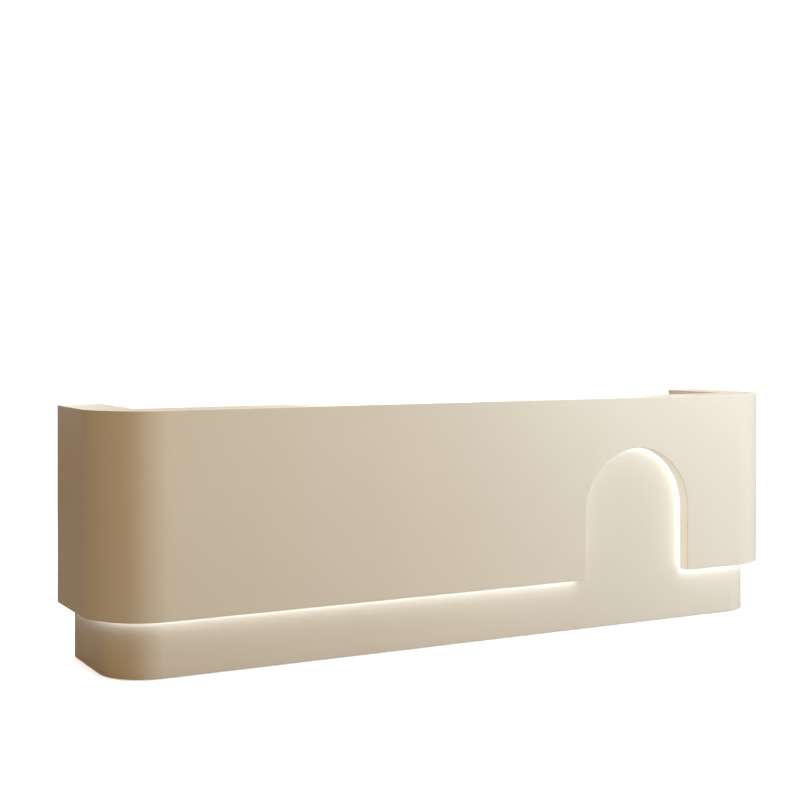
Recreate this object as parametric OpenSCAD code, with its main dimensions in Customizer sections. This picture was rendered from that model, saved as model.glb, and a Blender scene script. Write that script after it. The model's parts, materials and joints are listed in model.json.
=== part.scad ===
// Checkout counter: a cream lacquered counter with rounded front corners, an overhanging upper
// body on a set-back plinth, and a lit arch recess. Staff stand on the +Y side.
// The origin is on the floor, under the middle of the counter. The front face looks along -Y.

/* [Counter] */
// Length of the counter from end to end
counter_length = 3540; // [3500:10:3800]
// Depth from the front face to the back of the side wings
counter_depth = 642; // [642:1:700]
// Height of the top ledge above the floor
counter_height = 1100; // [1080:5:1200]
// Outside radius of the two front corners
corner_radius = 284; // [270:1:290]
// Thickness of the hollow walls, from the outer face to the staff side
wall_thickness = 170; // [168:1:180]
// Width of the ledge round the top
ledge_width = 200; // [190:5:240]

/* [Plinth] */
// Height of the upper body's lower edge above the floor
overhang_height = 247; // [240:1:270]
// How far the plinth stands back from the upper body
plinth_inset = 76; // [74:1:80]
// Gap between the lacquered boards and the floor
floor_gap = 3; // [1:0.5:5]

/* [Arch] */
// Width of the arch recess
arch_width = 609; // [500:1:640]
// Height of the top of the arch above the floor
arch_top = 858; // [780:1:900]
// Distance from the middle of the arch to the right end of the counter
arch_from_end = 902; // [850:1:950]

/* [Boards] */
// Thickness of the main boards
board = 18; // [16:1:19]
// Thickness of the ledge and of the worktop
thick_board = 25; // [22:1:28]
// Height of the worktop above the floor
worktop_height = 780; // [770:5:790]

/* [Staff side] */
// Inside width of the drawer pedestal
pedestal_width = 440; // [400:10:460]
// Inside width of the cupboard with two doors
cupboard_width = 900; // [860:10:940]
// Height of the bottom boards above the floor
kick_height = 84; // [80:1:90]
// Thickness of the drawer box sides
drawer_side = 12; // [10:1:14]
// Width of the keyboard tray
tray_width = 560; // [500:10:600]

/* [Hidden] */
$fn = 96;

// Colours
lacquer = [0.86, 0.80, 0.71];
white_board = [0.90, 0.87, 0.82];
timber = [0.80, 0.66, 0.45];
birch = [0.85, 0.74, 0.56];
steel = [0.66, 0.67, 0.69];
aluminium = [0.78, 0.79, 0.80];
opal = [1.0, 0.97, 0.90];
black_plastic = [0.10, 0.10, 0.11];

// Outline of the counter in plan
half_length = counter_length / 2;
front_y = -counter_depth / 2;
back_y = counter_depth / 2;
corner_x = half_length - corner_radius;
corner_y = front_y + corner_radius;
// Depths of the wall's layers behind its outer face
plinth_back = plinth_inset + board;
lining_face = wall_thickness - board;
// Hairline between neighbouring boards of one group, so that each stays a separate solid
seam = 0.4;
soffit_z = 262;
soffit_top = soffit_z + board;
ledge_z = counter_height - thick_board;
worktop_under = worktop_height - thick_board;

// Arch
arch_x = half_length - arch_from_end;
arch_radius = arch_width / 2;
arch_spring = arch_top - arch_radius;
liner_depth = 60;
liner_wall = 12;
tongue_margin = 60;
tongue_half = arch_radius + tongue_margin;
tongue_top = arch_top + tongue_margin;

// Light profiles: depth behind the outer face, and size of the section
led_bottom = 252;
led_near = 54;
led_far = 70;
led_wall = 1.5;
diffuser_height = 3;
arch_led_depth = 70;
arch_led_wall = 2;

// Staff side, in plan
inner_x = half_length - wall_thickness;
inner_y = front_y + wall_thickness;
worktop_back = back_y - 25;
carcase_back = back_y - 50;
front_gap = 2;
door_y = carcase_back + front_gap;
door_face = door_y + board;
kick_set_back = 50;
pedestal_x = -inner_x + pedestal_width;
knee_x = pedestal_x + board;
cupboard_x = -40;
bay_x = cupboard_x + cupboard_width + board;
worktop_split = cupboard_x - board / 2;
bottom_top = kick_height + board;

// Places of the studs in the front wall. The ones beside the arch clear its back panel.
stud = 38;
stud_depth = lining_face - plinth_back;
rail_lift = 20;
side_rib_y = [0, 240];
beside_arch = tongue_half + 40;
end_stud_x = corner_x - 25;
stud_x = [knee_x + 130, knee_x + 620, cupboard_x, arch_x - beside_arch, arch_x + beside_arch];
former_z = [300, 680, ledge_z - board];

// Shelves and their pins
shelf_z = 420;
pin_radius = 2.5;
pin_hole_radius = 2.6;
pin_reach = 8;
pin_inset = 51;
pin_y = [inner_y + pin_inset, carcase_back - pin_inset];
shelf_gap = 2;

// Cable grommets in the worktop
grommet_y = inner_y + 56;
grommet_x = [-560, 1240];
grommet_hole_radius = 30;
grommet_bore_radius = 26;
grommet_flange_radius = 34;
grommet_flange = 3;

// Drawers, from the top one down
reveal = 3;
fronts_top = worktop_under - 4;
upper_height = [150, 220];
lowest_height = fronts_top - kick_height - upper_height[0] - upper_height[1] - 2 * reveal;
drawer_height = [upper_height[0], upper_height[1], lowest_height];
box_height = [80, 170, 230];
box_lift = 26;
drawer_name = ["top", "middle", "bottom"];
drawer_left = -inner_x + 2;
drawer_right = knee_x - 1;
slide_clearance = 12.5;
slide_length = 380;
slide_start = carcase_back - 5 - slide_length;
box_back = inner_y + 26;
box_bottom = 6;
slide_lift = 35;
rail_half = 14;
runner_half = 11.5;
function drawer_top(i) = i == 0 ? fronts_top : drawer_top(i - 1) - drawer_height[i - 1] - reveal;
function drawer_bottom(i) = drawer_top(i) - drawer_height[i];
function slide_z(i) = drawer_bottom(i) + box_lift + slide_lift;

// Lock in the top drawer
lock_x = drawer_right - 45;
lock_z = fronts_top - 29;
lock_radius = 9;
lock_hole_radius = 9.1;
plug_radius = 5.5;
plug_bore_radius = 5.55;
cam = [40, 3, 10];
cam_y = door_y - 9 - cam[1];
// Mortise in the worktop that the lock's cam turns up into
mortise_x = [lock_x - 27, lock_x + 8];
mortise_depth = 12;

// Handles
handle_spacing = 128;
handle_length = 148;
handle_reach = 27;
handle_bar = [10, 8];
handle_post_radius = 4;
door_handle_inset = 45;
door_handle_z = 560;

// Doors and their hinges
door_top = fronts_top;
door_bottom = kick_height;
door_width = (cupboard_width + 2 * board - reveal) / 2;
hinge_height = 50;
hinge_inset = 80;
hinge_plate = 1.5;
knuckle_radius = 3.5;
knuckle_offset = 4;
hinge_pin_radius = 1.5;
hinge_bore_radius = 1.55;
hinge_y = carcase_back + front_gap / 2;
hinge_leaf = 25;

// Keyboard tray
tray_x = (knee_x + cupboard_x - board) / 2;
tray_z = worktop_under - 91;
tray_board = 16;
tray_y = [worktop_back - 336, worktop_back - 34];

// Power box under the worktop
power_x = [knee_x + 10, knee_x + 120];
power_y = [worktop_back - 80, worktop_back - 10];
power_z = worktop_under - 40;
socket_x = power_x[0] + 34;
rocker_x = power_x[0] + 82;
power_mid = power_z + 20;
rocker_tilt = 8;
rocker_depth = 6;

// Light driver on the front wall, and its leads
driver = [160, 32, 42];
driver_x = knee_x + 20;
driver_z = worktop_under - 115;
lead_x = driver_x + driver[0] + 50;
lead_z = driver_z + driver[2] / 2;
lead_hole_radius = 4;
mains_radius = 3.5;
mains_x = power_x[0] + 60;
mains_z = worktop_under - 20;
lead_radius = 2;
led_mid = (led_near + led_far) / 2;
led_y = front_y + led_mid;

// Brackets that fix the counter to the floor
bracket_x = [-1000, -220];
bracket = [80, 40, 60];
bracket_plate = 3;
bracket_hole_radius = 4.5;
bracket_spacing = 50;
bracket_hole_y = 24;

// A board between two corners
module slab(x, y, z) {
    translate([x[0], y[0], z[0]]) cube([x[1] - x[0], y[1] - y[0], z[1] - z[0]]);
}

// Puts what is drawn for the right end at the right (1) or the left (-1)
module at_end(side) {
    mirror([side < 0 ? 1 : 0, 0, 0]) children();
}

// A flat front board, set back by out from the front face
module front_board(out, z) {
    slab([-corner_x, corner_x], [front_y + out, front_y + out + board], z);
}

// A board bent round the right front corner and along the right side
module bent_board(out, z) {
    radius = corner_radius - out;
    translate([corner_x, corner_y, z[0]]) rotate([0, 0, -90]) rotate_extrude(angle = 90)
        translate([radius - board, 0]) square([board, z[1] - z[0]]);
    slab([half_length - out - board, half_length - out], [corner_y, back_y], z);
}

// Extrudes a section drawn in X and Z along Y
module along_y(y) {
    translate([0, y[1], 0]) rotate([90, 0, 0]) linear_extrude(y[1] - y[0]) children();
}

// Runs a section, drawn as depth behind the outer face and height, round the right end
module end_run() {
    translate([corner_x, corner_y, 0]) rotate([0, 0, -90]) rotate_extrude(angle = 90)
        translate([corner_radius, 0]) mirror([1, 0]) children();
    translate([half_length, corner_y + seam, 0]) rotate([90, 0, 180])
        linear_extrude(back_y - corner_y - seam) children();
}

// Runs the same section along the front between two places
module front_run(x) {
    translate([x[0], front_y, 0]) rotate([90, 0, 90]) linear_extrude(x[1] - x[0]) children();
}

// The whole run under the overhang, broken by the arch
module cove_run() {
    gap = arch_radius + liner_wall + seam;
    front_run([-corner_x + seam, arch_x - gap]) children();
    front_run([arch_x + gap, corner_x - seam]) children();
    end_run() children();
    mirror([1, 0, 0]) end_run() children();
}

// Runs a section, drawn as radius and depth, up one side of the arch, over it and down
module arch_run(z) {
    for (side = [0, 1])
        translate([arch_x, front_y, z]) mirror([side, 0, 0]) linear_extrude(arch_spring - z)
            children();
    translate([arch_x, front_y, arch_spring]) rotate([-90, 0, 0]) rotate([0, 0, 180])
        rotate_extrude(angle = 180) children();
}

// Outer shell ---------------------------------------------------------------

module front_fascia() {
    color(lacquer) difference() {
        front_board(0, [overhang_height, counter_height]);
        slab([arch_x - arch_radius, arch_x + arch_radius], [front_y - 1, front_y + board + 1],
            [overhang_height - 1, arch_spring]);
        along_y([front_y - 1, front_y + board + 1]) translate([arch_x, arch_spring])
            circle(arch_radius);
    }
}

module end_fascia(side) {
    color(lacquer) at_end(side) bent_board(0, [overhang_height, counter_height]);
}

module front_ledge() {
    color(lacquer) slab([-corner_x, corner_x], [front_y + board, front_y + ledge_width],
        [ledge_z, counter_height]);
}

module end_ledge(side) {
    color(lacquer) at_end(side) {
        difference() {
            translate([corner_x, corner_y, ledge_z]) rotate([0, 0, -90])
                rotate_extrude(angle = 90) square([corner_radius - board, thick_board]);
            slab([corner_x - 1, half_length - ledge_width],
                [front_y + ledge_width, corner_y + 1], [ledge_z - 1, counter_height + 1]);
        }
        slab([half_length - ledge_width, half_length - board], [corner_y, back_y],
            [ledge_z, counter_height]);
    }
}

module front_plinth() {
    color(lacquer) {
        front_board(plinth_inset, [floor_gap, soffit_top]);
        slab([arch_x - tongue_half, arch_x + tongue_half],
            [front_y + plinth_inset, front_y + plinth_back], [soffit_top, tongue_top]);
    }
}

module end_plinth(side) {
    color(lacquer) at_end(side) bent_board(plinth_inset, [floor_gap, soffit_top]);
}

module arch_liner() {
    color(lacquer) arch_run(overhang_height) translate([arch_radius, board])
        square([liner_wall, liner_depth - board]);
}

module overhang_soffit() {
    color(lacquer) difference() {
        cove_run() translate([board, soffit_z]) square([plinth_inset - board, board]);
        translate([lead_x, led_y, soffit_z - 1]) cylinder(h = board + 2, r = lead_hole_radius);
    }
}

module wing_end(side) {
    y = [back_y - board, back_y];
    color(lacquer) at_end(side) {
        slab([inner_x + board, half_length - plinth_back], y, [floor_gap, soffit_top + seam]);
        slab([inner_x + board, half_length - board], y, [soffit_top + seam, ledge_z]);
    }
}

// Inside of the walls -------------------------------------------------------

module front_lining() {
    color(white_board) difference() {
        slab([-inner_x, inner_x], [front_y + lining_face, inner_y], [floor_gap, ledge_z]);
        along_y([front_y + lining_face - 1, inner_y + 1]) translate([lead_x, lead_z])
            circle(lead_hole_radius);
    }
}

module end_lining(side) {
    color(white_board) difference() {
        at_end(side) slab([inner_x, inner_x + board], [front_y + lining_face, back_y],
            [floor_gap, ledge_z]);
        if (side > 0) pin_holes(inner_x);
    }
}

// One wall's frame: a bottom rail, a top rail and studs between them
module stud_wall(u, v, places) {
    slab(u, v, [rail_lift, rail_lift + stud]);
    slab(u, v, [ledge_z - stud, ledge_z]);
    for (p = places)
        slab([p - stud / 2, p + stud / 2], v, [rail_lift + stud + seam, ledge_z - stud - seam]);
}

module wall_studs() {
    front_end = end_stud_x + stud / 2;
    side_y = [corner_y + 6, back_y - board - 1];
    color(timber) {
        stud_wall([-front_end, front_end], [front_y + plinth_back, front_y + lining_face],
            concat([-end_stud_x, arch_x, end_stud_x], stud_x));
        for (side = [1, -1])
            at_end(side) translate([inner_x + board, 0, 0]) rotate([0, 0, 90]) mirror([0, 1, 0])
                stud_wall(side_y, [0, stud_depth], [side_y[0] + stud / 2, side_y[1] - stud / 2]);
    }
}

// Ribs that hold the outer skin off the studs, and curved formers inside the corners
module spacer_ribs() {
    z = [soffit_top + seam, ledge_z];
    color(birch) {
        for (x = concat([-end_stud_x, end_stud_x], stud_x))
            slab([x - board / 2, x + board / 2], [front_y + board, front_y + plinth_back], z);
        for (side = [1, -1]) at_end(side) {
            for (y = side_rib_y)
                slab([half_length - plinth_back, half_length - board],
                    [y - board / 2, y + board / 2], z);
            for (h = former_z)
                translate([corner_x, corner_y, h]) rotate([0, 0, -90]) rotate_extrude(angle = 90)
                    translate([corner_radius - plinth_back, 0])
                    square([plinth_back - board, board]);
        }
    }
}

// Lights --------------------------------------------------------------------

module arch_led_profile() {
    inner = arch_radius;
    outer = arch_radius + liner_wall;
    color(aluminium) arch_run(led_bottom) polygon([
        [inner, liner_depth], [outer, liner_depth], [outer, arch_led_depth],
        [outer - arch_led_wall, arch_led_depth],
        [outer - arch_led_wall, liner_depth + arch_led_wall],
        [inner, liner_depth + arch_led_wall],
    ]);
}

module arch_led_diffuser() {
    inner = arch_radius;
    outer = arch_radius + liner_wall - arch_led_wall;
    color(opal) arch_run(led_bottom) polygon([
        [inner, liner_depth + arch_led_wall], [outer, liner_depth + arch_led_wall],
        [outer, arch_led_depth],
    ]);
}

module plinth_led_profiles() {
    height = soffit_z - led_bottom;
    color(aluminium) cove_run() translate([led_near, led_bottom]) difference() {
        square([led_far - led_near, height]);
        translate([led_wall, -1]) square([led_far - led_near - 2 * led_wall, height + 1 - led_wall]);
    }
}

module plinth_led_diffusers() {
    color(opal) cove_run() translate([led_near + led_wall, led_bottom])
        square([led_far - led_near - 2 * led_wall, diffuser_height]);
}

module led_driver() {
    ear = [10, 3];
    shoulder = 8;
    color(white_board) {
        slab([driver_x, driver_x + driver[0]], [inner_y, inner_y + driver[1]],
            [driver_z, driver_z + driver[2]]);
        for (x = [driver_x - ear[0], driver_x + driver[0]])
            slab([x, x + ear[0]], [inner_y, inner_y + ear[1]],
                [driver_z + shoulder, driver_z + driver[2] - shoulder]);
    }
}

// Route of the mains lead, from the power box to the driver
mains_route = [
    [mains_x, power_y[0], mains_z], [mains_x, inner_y + 340, mains_z],
    [mains_x, inner_y + 190, mains_z], [mains_x, inner_y + 80, mains_z],
    [mains_x, inner_y + 45, mains_z - 4], [mains_x, inner_y + 25, mains_z - 15],
    [mains_x, inner_y + 16, mains_z - 31], [mains_x, inner_y + 16, driver_z + driver[2]],
];
// Route of the low-voltage lead, from the driver through the wall to the light profile
lead_route = [
    [driver_x + driver[0] + 10, inner_y + 18, lead_z], [lead_x - 16, inner_y + 18, lead_z],
    [lead_x - 6, inner_y + 14, lead_z], [lead_x - 1, inner_y + 6, lead_z],
    [lead_x, inner_y - 5, lead_z], [lead_x, inner_y - 85, lead_z],
    [lead_x, inner_y - 97, lead_z - 3], [lead_x, inner_y - 105, lead_z - 11],
    [lead_x, led_y, lead_z - 24], [lead_x, led_y, 400], [lead_x, led_y, soffit_z],
];

function unit(v) = v / norm(v);
// Direction of the route at one of its points, and a direction square to that
function heading(p, i) = unit(p[min(i + 1, len(p) - 1)] - p[max(i - 1, 0)]);
function across(d) = unit(cross(d, abs(d[0]) > 0.9 ? [0, 0, 1] : [1, 0, 0]));
// A ring of points round the route at one of its points
function ring(p, i, r, sides) =
    let(d = heading(p, i), a = across(d), b = cross(d, a), step = 360 / sides)
    [for (k = [0 : sides - 1]) p[i] + r * (cos(k * step) * a + sin(k * step) * b)];

// A round lead that follows a route
module lead(p, r, sides = 8) {
    points = [for (i = [0 : len(p) - 1]) each ring(p, i, r, sides)];
    walls = [
        for (i = [0 : len(p) - 2], k = [0 : sides - 1])
            let(m = (k + 1) % sides)
            each [
                [i * sides + k, i * sides + m, (i + 1) * sides + m],
                [i * sides + k, (i + 1) * sides + m, (i + 1) * sides + k],
            ]
    ];
    start = [for (k = [sides - 1 : -1 : 0]) k];
    end = [for (k = [0 : sides - 1]) (len(p) - 1) * sides + k];
    polyhedron(points, concat(walls, [start, end]));
}

module led_wiring() {
    color(black_plastic) {
        lead(mains_route, mains_radius);
        lead(lead_route, lead_radius);
    }
}

// Switched mains inlet under the worktop
module power_box() {
    socket = [24.5, 16.5, 16];
    blade = [2, 10, 4];
    blade_place = [[-7, 2], [0, -2], [7, 2]];
    rocker_hole = [14.4, 14, 20.6];
    pivot_hole_radius = 1.55;
    color(black_plastic) difference() {
        slab(power_x, power_y, [power_z, worktop_under]);
        translate([socket_x - socket[0] / 2, power_y[1] - socket[2], power_mid - socket[1] / 2])
            cube([socket[0], socket[2] + 1, socket[1]]);
        translate([rocker_x - rocker_hole[0] / 2, power_y[1] - rocker_hole[1],
            power_mid - rocker_hole[2] / 2])
            cube([rocker_hole[0], rocker_hole[1] + 1, rocker_hole[2]]);
        translate([rocker_x - 10, power_y[1] - rocker_depth, power_mid]) rotate([0, 90, 0])
            cylinder(h = 20, r = pivot_hole_radius);
    }
    color(steel) for (p = blade_place)
        translate([socket_x + p[0] - blade[0] / 2, power_y[1] - socket[2],
            power_mid + p[1] - blade[2] / 2])
            cube(blade);
}

// The rocker at rest is tilted to its "on" side
module rocker_switch() {
    half = 9;
    width = 13.4;
    pivot = [19, 1.5];
    color([0.75, 0.10, 0.08]) translate([rocker_x, power_y[1] - rocker_depth, power_mid])
        rotate([rocker_tilt, 0, 0]) {
            translate([-width / 2, 0, 0]) rotate([90, 0, 90]) linear_extrude(width)
                polygon([[-5, -7], [5.5, -half], [8.5, -half], [6.5, 0], [8.5, half],
                    [5.5, half], [-5, 7]]);
            translate([-pivot[0] / 2, 0, 0]) rotate([0, 90, 0])
                cylinder(h = pivot[0], r = pivot[1]);
        }
}

// Feet and fixings ----------------------------------------------------------

// A foot with a round pad and a stem of a given radius
module foot(x, y, height, stem) {
    pad_radius = 20;
    pad = 6;
    translate([x, y, 0]) {
        cylinder(h = pad, r = pad_radius);
        cylinder(h = height, r = stem);
    }
}

// Feet under the walls' bottom rails, and legs under the bottom boards
module levelling_feet() {
    wall_stem = 6;
    wall_foot_x = [-1400, -700, 0, 700, 1400];
    wall_foot_y = front_y + (plinth_back + lining_face) / 2;
    side_foot_x = inner_x + board + stud_depth / 2;
    side_foot_y = [20, 260];
    leg_stem = 13;
    inset = 50;
    leg_x = [-inner_x + inset, pedestal_x - inset, cupboard_x + inset,
        cupboard_x + cupboard_width - inset, bay_x + inset, inner_x - inset];
    leg_y = [inner_y + inset, carcase_back - 2 * inset];
    color(black_plastic) {
        for (x = wall_foot_x) foot(x, wall_foot_y, rail_lift, wall_stem);
        for (side = [1, -1], y = side_foot_y) foot(side * side_foot_x, y, rail_lift, wall_stem);
        for (x = leg_x, y = leg_y) foot(x, y, kick_height, leg_stem);
    }
}

module floor_brackets() {
    color(steel) for (x = bracket_x) difference() {
        union() {
            slab([x - bracket[0] / 2, x + bracket[0] / 2], [inner_y, inner_y + bracket[1]],
                [0, bracket_plate]);
            slab([x - bracket[0] / 2, x + bracket[0] / 2], [inner_y, inner_y + bracket_plate],
                [0, bracket[2]]);
        }
        for (side = [-1, 1])
            translate([x + side * bracket_spacing / 2, inner_y + bracket_hole_y, -1])
                cylinder(h = bracket_plate + 2, r = bracket_hole_radius);
    }
}

// Staff side cabinets -------------------------------------------------------

module worktop(x, hole_x) {
    color(white_board) difference() {
        slab(x, [inner_y, worktop_back], [worktop_under, worktop_height]);
        translate([hole_x, grommet_y, worktop_under - 1])
            cylinder(h = thick_board + 2, r = grommet_hole_radius);
        slab(mortise_x, [cam_y - 3, cam_y + cam[1] + 3],
            [worktop_under - 1, worktop_under + mortise_depth]);
    }
}

module left_worktop() {
    worktop([-inner_x, worktop_split - seam / 2], grommet_x[0]);
}

module right_worktop() {
    worktop([worktop_split + seam / 2, inner_x], grommet_x[1]);
}

module cable_grommets() {
    sleeve_radius = grommet_hole_radius - 0.2;
    color(black_plastic) for (x = grommet_x)
        translate([x, grommet_y, worktop_under]) rotate_extrude() polygon([
            [grommet_bore_radius, 0], [sleeve_radius, 0], [sleeve_radius, thick_board],
            [grommet_flange_radius, thick_board],
            [grommet_flange_radius - 1, thick_board + grommet_flange],
            [grommet_bore_radius, thick_board + grommet_flange],
        ]);
}

// Holes for shelf pins in a board that starts at x
module pin_holes(x) {
    for (y = pin_y)
        translate([x - 1, y, shelf_z - pin_radius]) rotate([0, 90, 0])
            cylinder(h = board + 2, r = pin_hole_radius);
}

module divider_panels() {
    y = [inner_y, carcase_back];
    z = [floor_gap, worktop_under];
    color(white_board) difference() {
        for (x = [pedestal_x, cupboard_x - board, bay_x - board]) slab([x, x + board], y, z);
        for (x = [cupboard_x - board, bay_x - board]) pin_holes(x);
    }
}

// The three compartments between the dividers, as inside faces
module each_compartment(y, z) {
    slab([-inner_x, pedestal_x], y, z);
    slab([cupboard_x, cupboard_x + cupboard_width], y, z);
    slab([bay_x, inner_x], y, z);
}

module cabinet_bottoms() {
    color(white_board) each_compartment([inner_y, carcase_back], [kick_height, bottom_top]);
}

module toe_kicks() {
    kick_y = carcase_back - kick_set_back;
    color(lacquer) each_compartment([kick_y - board, kick_y], [floor_gap, kick_height]);
}

module shelves() {
    y = [inner_y + shelf_gap, carcase_back - 10];
    z = [shelf_z, shelf_z + board];
    color(white_board) {
        slab([cupboard_x + shelf_gap, cupboard_x + cupboard_width - shelf_gap], y, z);
        slab([bay_x + shelf_gap, inner_x - shelf_gap], y, z);
    }
}

module shelf_pins() {
    reach = pin_reach + shelf_gap + 6;
    starts = [cupboard_x - pin_reach, bay_x - board + pin_reach - reach, bay_x - pin_reach,
        inner_x + pin_reach - reach];
    color(steel) for (x = starts, y = pin_y)
        translate([x, y, shelf_z - pin_radius]) rotate([0, 90, 0])
            cylinder(h = reach, r = pin_radius);
}

// A pair of boards or rails, mirrored about the middle of a compartment
module both_sides(x) {
    for (side = [0, 1]) translate([x, 0, 0]) mirror([side, 0, 0]) children();
}

drawer_x = (-inner_x + pedestal_x) / 2;
half_bay = pedestal_width / 2;
tray_edge = tray_width / 2;
tray_mid = tray_z + tray_board / 2;

// Fixed members of the drawer slides and of the tray slides
module slide_rails() {
    lip = 2;
    rail_depth = 9;
    rail_web = 1.5;
    channel = [6, 14];
    channel_half = 6.5;
    flange = 22;
    hang = worktop_under - tray_mid;
    color(steel) {
        for (i = [0 : 2])
            both_sides(drawer_x) along_y([slide_start, slide_start + slide_length])
                translate([half_bay, slide_z(i)]) difference() {
                    translate([-rail_depth, -rail_half]) square([rail_depth, 2 * rail_half]);
                    translate([-rail_depth - 1, -rail_half + lip])
                        square([rail_depth + 1 - rail_web, 2 * (rail_half - lip)]);
                }
        both_sides(tray_x) along_y([tray_y[0] - 20, tray_y[1]]) translate([tray_edge, tray_mid]) {
            for (z = [-channel_half, channel_half - lip])
                translate([channel[0], z]) square([channel[1] - channel[0], lip]);
            translate([channel[1] - lip, -channel_half]) square([lip, hang + channel_half]);
            translate([channel[1] - lip, hang - lip]) square([flange, lip]);
        }
    }
}

module drawer_front(i) {
    color(lacquer) difference() {
        slab([drawer_left, drawer_right], [door_y, door_face], [drawer_bottom(i), drawer_top(i)]);
        if (i == 0)
            translate([lock_x, door_y - 1, lock_z]) rotate([-90, 0, 0])
                cylinder(h = board + 2, r = lock_hole_radius);
    }
}

// An open box of five boards
module drawer_box(i) {
    half = half_bay - slide_clearance;
    z = [drawer_bottom(i) + box_lift, drawer_bottom(i) + box_lift + box_height[i]];
    inside = half - drawer_side - seam / 2;
    bottom_z = z[0] + 2;
    color(birch) translate([drawer_x, 0, 0]) {
        for (side = [0, 1])
            mirror([side, 0, 0]) slab([half - drawer_side, half], [box_back, door_y], z);
        slab([-inside, inside], [box_back, box_back + drawer_side], z);
        slab([-inside, inside], [door_y - drawer_side, door_y], z);
        slab([-inside, inside], [box_back + drawer_side + seam, door_y - drawer_side - seam],
            [bottom_z, bottom_z + box_bottom]);
    }
}

module drawer_runners(i) {
    web = 1.5;
    flange = 3;
    depth = slide_clearance - 3;
    color(steel) both_sides(drawer_x) along_y([slide_start, slide_start + slide_length])
        translate([half_bay - slide_clearance, slide_z(i)]) difference() {
            translate([0, -runner_half]) square([depth, 2 * runner_half]);
            translate([web, -runner_half + flange]) square([depth, 2 * (runner_half - flange)]);
        }
}

// A bar handle on two posts, along X, with its back at y = 0
module bar_handle() {
    gap = handle_reach - handle_bar[1];
    sunk = 2;
    translate([-handle_length / 2, gap, -handle_bar[0] / 2])
        cube([handle_length, handle_bar[1], handle_bar[0]]);
    for (side = [-1, 1])
        translate([side * handle_spacing / 2, 0, 0]) rotate([-90, 0, 0])
            cylinder(h = gap + sunk, r = handle_post_radius);
}

module drawer_handle(i) {
    color(steel) translate([drawer_x, door_face, (drawer_top(i) + drawer_bottom(i)) / 2])
        bar_handle();
}

// The lock's housing, with a rim on the drawer front
module drawer_lock() {
    behind = 6;
    rim = [2.5, 2];
    color(steel) translate([lock_x, 0, lock_z]) rotate([-90, 0, 0]) difference() {
        union() {
            translate([0, 0, door_y - behind]) cylinder(h = board + behind, r = lock_radius);
            translate([0, 0, door_face]) cylinder(h = rim[1], r = lock_radius + rim[0]);
        }
        translate([0, 0, door_y - behind - 1])
            cylinder(h = board + behind + rim[1] + 2, r = plug_bore_radius);
    }
}

// The turning core of the lock, with its keyway and its cam
module lock_plug() {
    plug_behind = 9;
    plug_proud = 2.5;
    keyway = [2, 7, 10];
    color(aluminium) {
        translate([lock_x, 0, lock_z]) rotate([-90, 0, 0]) difference() {
            translate([0, 0, door_y - plug_behind])
                cylinder(h = board + plug_behind + plug_proud, r = plug_radius);
            translate([-keyway[0] / 2, -keyway[1] / 2, door_face - 4]) cube(keyway);
        }
        slab([lock_x - cam[0], lock_x + cam[2] / 2], [cam_y, cam_y + cam[1]],
            [lock_z - cam[2] / 2, lock_z + cam[2] / 2]);
    }
}

// Doors and hinges. Everything is drawn for the right door, whose hinges are at x = 0.

module place_door(side) {
    translate([side > 0 ? bay_x : cupboard_x - board, 0, 0]) at_end(side) children();
}

module door(side) {
    color(lacquer) place_door(side) slab([-door_width, 0], [door_y, door_face],
        [door_bottom, door_top]);
}

module door_handle(side) {
    color(steel) place_door(side) translate([-door_width + door_handle_inset, door_face, door_handle_z])
        rotate([0, 90, 0]) bar_handle();
}

module each_hinge() {
    for (z = [door_bottom + hinge_inset, door_top - hinge_inset - hinge_height])
        translate([0, hinge_y, z]) children();
}

knuckle = (hinge_height - 2 * seam) / 3;

// Leaf on the divider: two knuckles and the pin
module frame_leaf() {
    slab([0, hinge_plate], [-hinge_leaf, -knuckle_offset], [0, hinge_height]);
    for (z = [0, hinge_height - knuckle]) {
        translate([0, 0, z]) slab([0, hinge_plate], [-knuckle_offset, 0], [0, knuckle]);
        translate([knuckle_offset, 0, z]) cylinder(h = knuckle, r = knuckle_radius);
    }
    translate([knuckle_offset, 0, 0]) cylinder(h = hinge_height, r = hinge_pin_radius);
}

// Leaf on the door's edge: the middle knuckle, bored for the pin
module door_leaf() {
    z = knuckle + seam;
    difference() {
        union() {
            slab([0, hinge_plate], [knuckle_offset, board], [0, hinge_height]);
            translate([0, 0, z]) slab([0, hinge_plate], [0, knuckle_offset], [0, knuckle]);
            translate([knuckle_offset, 0, z]) cylinder(h = knuckle, r = knuckle_radius);
        }
        translate([knuckle_offset, 0, z - 1]) cylinder(h = knuckle + 2, r = hinge_bore_radius);
    }
}

module hinge_frame_leaves() {
    color(steel) for (side = [1, -1]) place_door(side) each_hinge() frame_leaf();
}

module hinge_leaves(side) {
    color(steel) place_door(side) each_hinge() door_leaf();
}

// Keyboard tray -------------------------------------------------------------

// The tray, with a strip across its back that the keyboard stops against
module keyboard_tray() {
    stop = 8;
    color(white_board) {
        slab([tray_x - tray_edge, tray_x + tray_edge], tray_y, [tray_z, tray_z + tray_board]);
        slab([tray_x - tray_edge, tray_x + tray_edge], [tray_y[0], tray_y[0] + stop],
            [tray_z + tray_board, tray_z + tray_board + stop]);
    }
}

// Moving members of the tray slides: a plate on the tray's edge with a tongue in the channel
module tray_runners() {
    plate = 3;
    tongue = [8, 8];
    color(steel) both_sides(tray_x) along_y(tray_y) translate([tray_edge, tray_mid]) {
        translate([0, -tray_board / 2]) square([plate, tray_board]);
        translate([plate, -tongue[1] / 2]) square(tongue);
    }
}

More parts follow.
